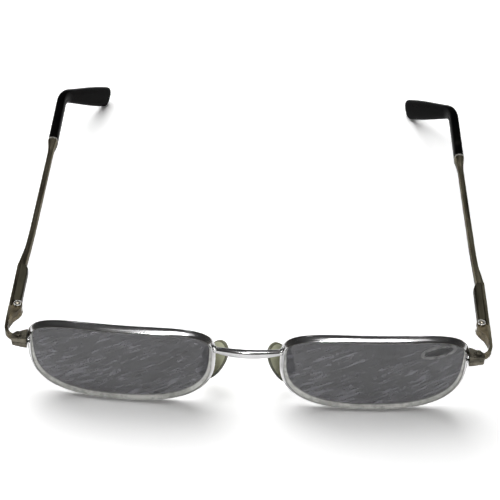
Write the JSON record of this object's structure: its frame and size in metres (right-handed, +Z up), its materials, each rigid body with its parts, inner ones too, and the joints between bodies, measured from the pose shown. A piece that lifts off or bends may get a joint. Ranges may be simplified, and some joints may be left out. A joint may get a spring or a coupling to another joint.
{
  "type": "wire frame glasses",
  "caption": "Full-rim metal glasses with soft-rectangle tinted lenses, screw-on nose pads, spring hinges and bent black plastic temple tips.",
  "frame": {"origin": "middle of the overall box, on the table: halfway across the face and halfway from the bridge's front to the rear ends of the tips, at the height of the rims' lowest points", "axes": "+X across the face towards the picture's right (the wearer's left), +Y from the front back towards the ears, +Z up from the table; the arms are open and the glasses stand on the rims and the tips"},
  "size_m": [0.1388, 0.1514, 0.0285],
  "materials": {
    "rim_metal": "polished dark silver plate",
    "arm_metal": "polished gunmetal plate, slightly worn and warm",
    "screw_steel": "bright steel",
    "brass": "plain turned brass",
    "lens": "polished grey-tinted resin with a faint violet coating",
    "film": "thin clear printed film",
    "pad_silicone": "soft clear plastic, slightly yellowed",
    "tip_plastic": "smooth glossy black"
  },
  "bodies": {
    "front": {"rim_left": "rim_metal", "rim_right": "rim_metal", "lens_left": "lens", "lens_right": "lens", "bridge": "rim_metal", "lens_label": "film", "pad_arm_left": "rim_metal", "pad_arm_right": "rim_metal", "pad_box_left": "rim_metal", "pad_box_right": "rim_metal", "pad_screws": "screw_steel", "rim_lock_upper_left": "arm_metal", "rim_lock_upper_right": "arm_metal", "rim_lock_lower_left": "arm_metal", "rim_lock_lower_right": "arm_metal", "rim_lock_screws": "screw_steel", "endpiece_left": "arm_metal", "endpiece_right": "arm_metal", "hinge_leaf_left": "arm_metal", "hinge_leaf_right": "arm_metal", "hinge_screws": "screw_steel"},
    "slider_left": {"hinge_slider_left": "screw_steel", "rod_nut_left": "brass"},
    "arm_left": {"spring_housing_left": "arm_metal", "spring_stop_left": "brass", "spring_left": "screw_steel", "temple_left": "arm_metal", "temple_tip_left": "tip_plastic"},
    "pad_left": {"pad_core_left": "screw_steel", "nose_pad_left": "pad_silicone"},
    "slider_right": {"hinge_slider_right": "screw_steel", "rod_nut_right": "brass"},
    "arm_right": {"spring_housing_right": "arm_metal", "spring_stop_right": "brass", "spring_right": "screw_steel", "temple_right": "arm_metal", "temple_tip_right": "tip_plastic"},
    "pad_right": {"pad_core_right": "screw_steel", "nose_pad_right": "pad_silicone"}
  },
  "joints": [
    {"name": "left_arm_fold", "type": "hinge", "parent": "front", "child": "slider_left", "pos_m": [-0.06695, -0.05969, 0.0209], "axis": [0, 0, -1], "range_deg": [-10, 89]},
    {"name": "left_hinge_spring", "type": "slide", "parent": "slider_left", "child": "arm_left", "axis": [0, 1, 0], "range_m": [0, 0.0009], "stiffness_N_per_m": 800, "springref_m": -0.003},
    {"name": "left_pad_rock", "type": "hinge", "parent": "front", "child": "pad_left", "pos_m": [-0.0113, -0.06868, 0.0121], "axis": [-0.5454, 0.8143, 0.1986], "range_deg": [-6, 6]},
    {"name": "right_arm_fold", "type": "hinge", "parent": "front", "child": "slider_right", "pos_m": [0.06695, -0.05969, 0.0209], "axis": [0, 0, 1], "range_deg": [-10, 80]},
    {"name": "right_hinge_spring", "type": "slide", "parent": "slider_right", "child": "arm_right", "axis": [0, 1, 0], "range_m": [0, 0.0009], "stiffness_N_per_m": 800, "springref_m": -0.003},
    {"name": "right_pad_rock", "type": "hinge", "parent": "front", "child": "pad_right", "pos_m": [0.0113, -0.06868, 0.0121], "axis": [0.5454, 0.8143, 0.1986], "range_deg": [-6, 6]}
  ]
}
